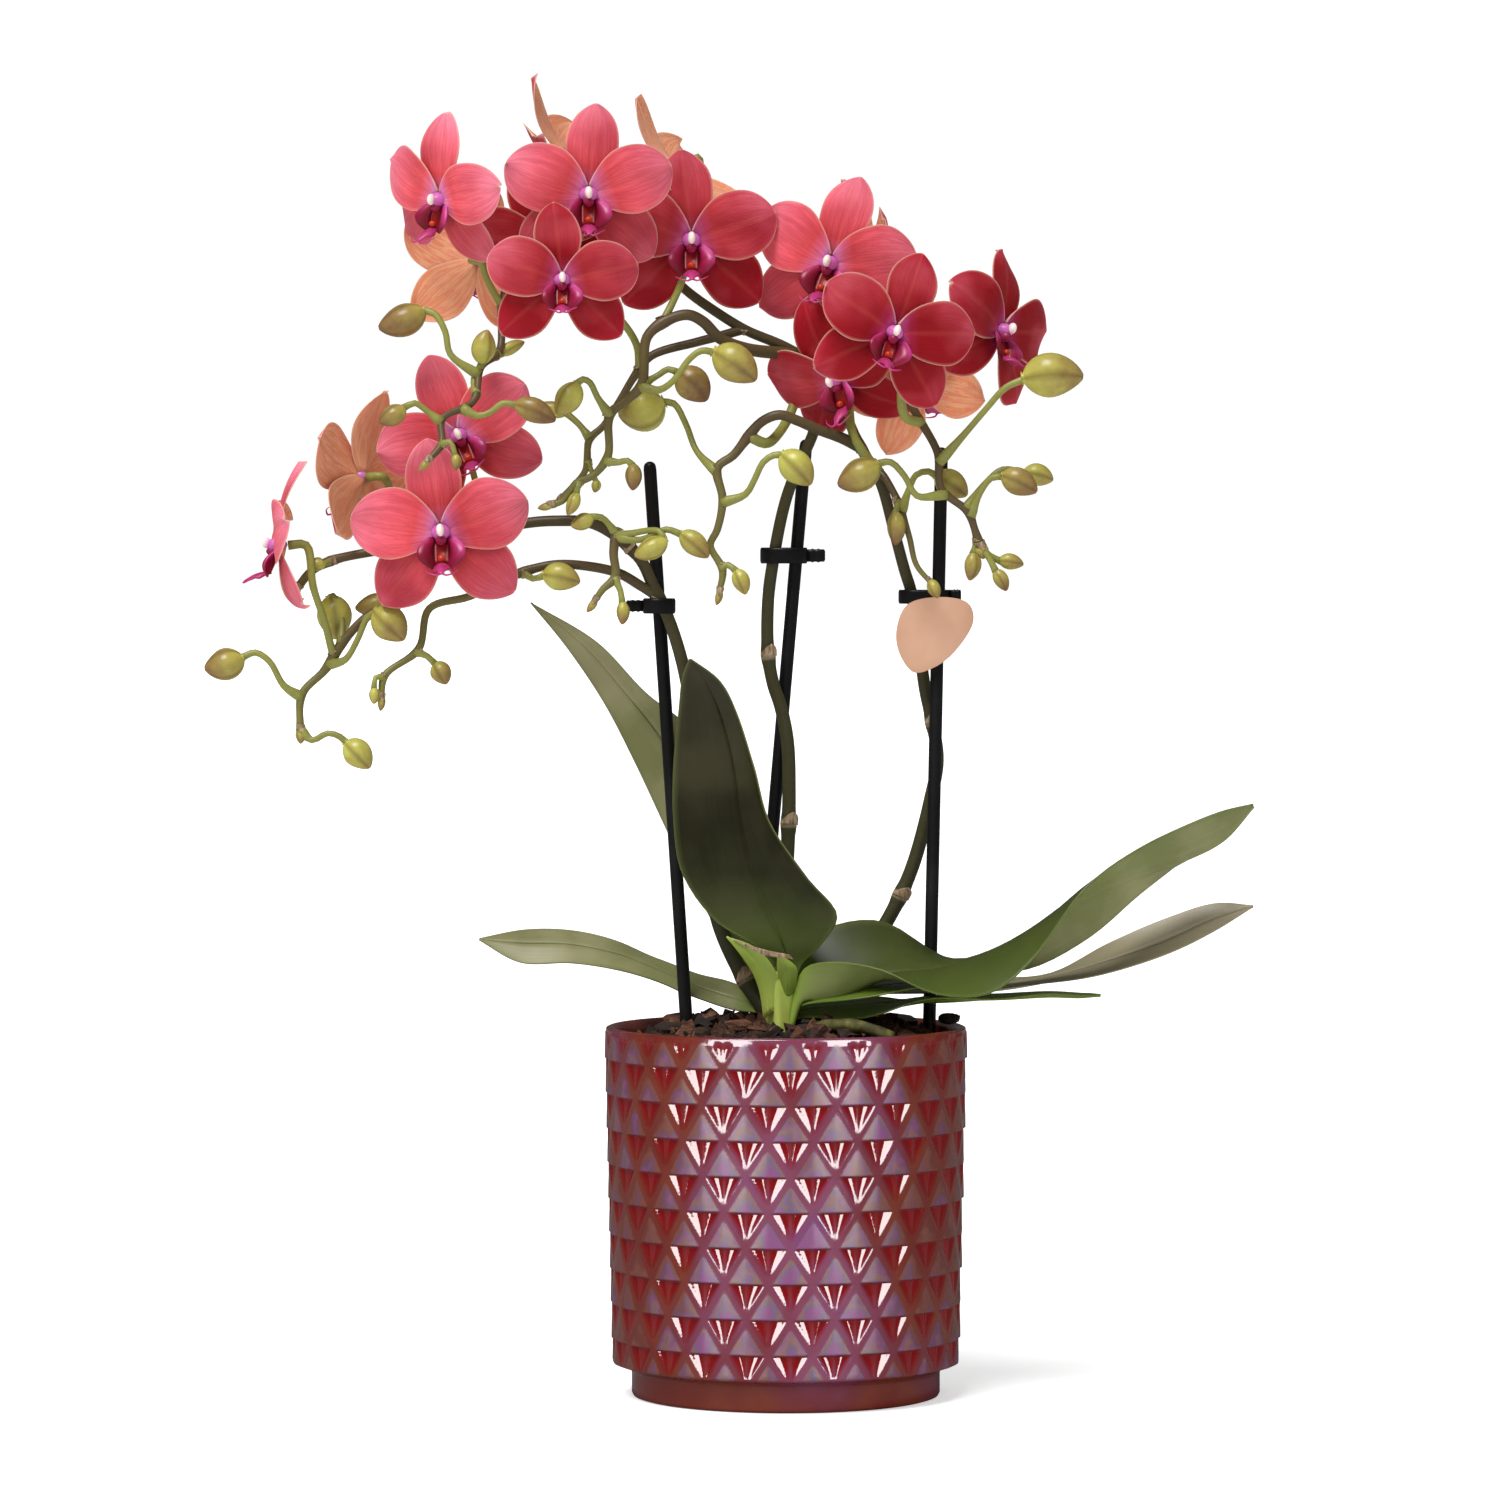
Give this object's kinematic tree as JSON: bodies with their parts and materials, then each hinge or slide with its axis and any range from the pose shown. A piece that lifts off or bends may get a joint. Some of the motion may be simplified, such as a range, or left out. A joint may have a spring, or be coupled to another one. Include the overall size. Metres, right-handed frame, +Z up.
{
  "type": "potted moth orchid",
  "caption": "Multi-stemmed moth orchid with open flowers and buds on staked arching stems, growing in bark in a cylindrical glazed pot with a diamond relief.",
  "frame": {"origin": "centre of the pot's flat foot, on the surface that the pot stands on", "axes": "+Z up along the pot's axis, +X to the right of a viewer who faces the flowers, +Y away from that viewer"},
  "size_m": [0.3005, 0.1036, 0.3748],
  "materials": {
    "glaze": "glossy deep red glaze with a violet and copper sheen on its raised edges",
    "soft_plastic": "thin satin dark plastic",
    "dark_plastic": "semi-gloss black plastic",
    "bark": "rough matt pine bark",
    "leaf_tissue": "waxy satin leaf skin",
    "crown_tissue": "smooth satin young leaf skin",
    "dry_tissue": "dry papery leaf remnant",
    "stem_tissue": "satin stem skin",
    "root_tissue": "matt spongy root skin",
    "petal_tissue": "velvety matt petal",
    "tag_card": "plain matt card"
  },
  "bodies": {
    "root": {"glazed_pot": "glaze", "nursery_pot": "soft_plastic", "crown": "crown_tissue", "left_stake": "dark_plastic", "middle_stake": "dark_plastic", "right_stake": "dark_plastic", "left_flower_stem": "stem_tissue", "middle_flower_stem": "stem_tissue", "right_flower_stem": "stem_tissue", "leaf_front_upright": "leaf_tissue", "leaf_back_upright": "leaf_tissue", "leaf_low_left": "leaf_tissue", "leaf_big_right": "leaf_tissue", "leaf_far_right": "leaf_tissue", "leaf_lowest_right": "leaf_tissue", "leaf_short_right": "leaf_tissue", "young_leaf": "crown_tissue", "dry_leaf_tip": "dry_tissue", "aerial_root": "root_tissue", "bark_bed": "bark", "bark_chip_1": "bark", "bark_chip_2": "bark", "bark_chip_3": "bark", "bark_chip_4": "bark", "bark_chip_5": "bark", "bark_chip_6": "bark", "bark_chip_7": "bark", "bark_chip_8": "bark", "left_clip": "dark_plastic", "middle_clip": "dark_plastic", "right_clip": "dark_plastic", "hang_tag": "tag_card", "flower_01": "petal_tissue", "flower_02": "petal_tissue", "flower_03": "petal_tissue", "flower_04": "petal_tissue", "flower_05": "petal_tissue", "flower_06": "petal_tissue", "flower_07": "petal_tissue", "flower_08": "petal_tissue", "flower_09": "petal_tissue", "flower_10": "petal_tissue", "flower_11": "petal_tissue", "flower_12": "petal_tissue", "flower_13": "petal_tissue", "flower_14": "petal_tissue", "flower_15": "petal_tissue", "flower_16": "petal_tissue", "flower_17": "petal_tissue", "flower_18": "petal_tissue"}
  },
  "joints": []
}
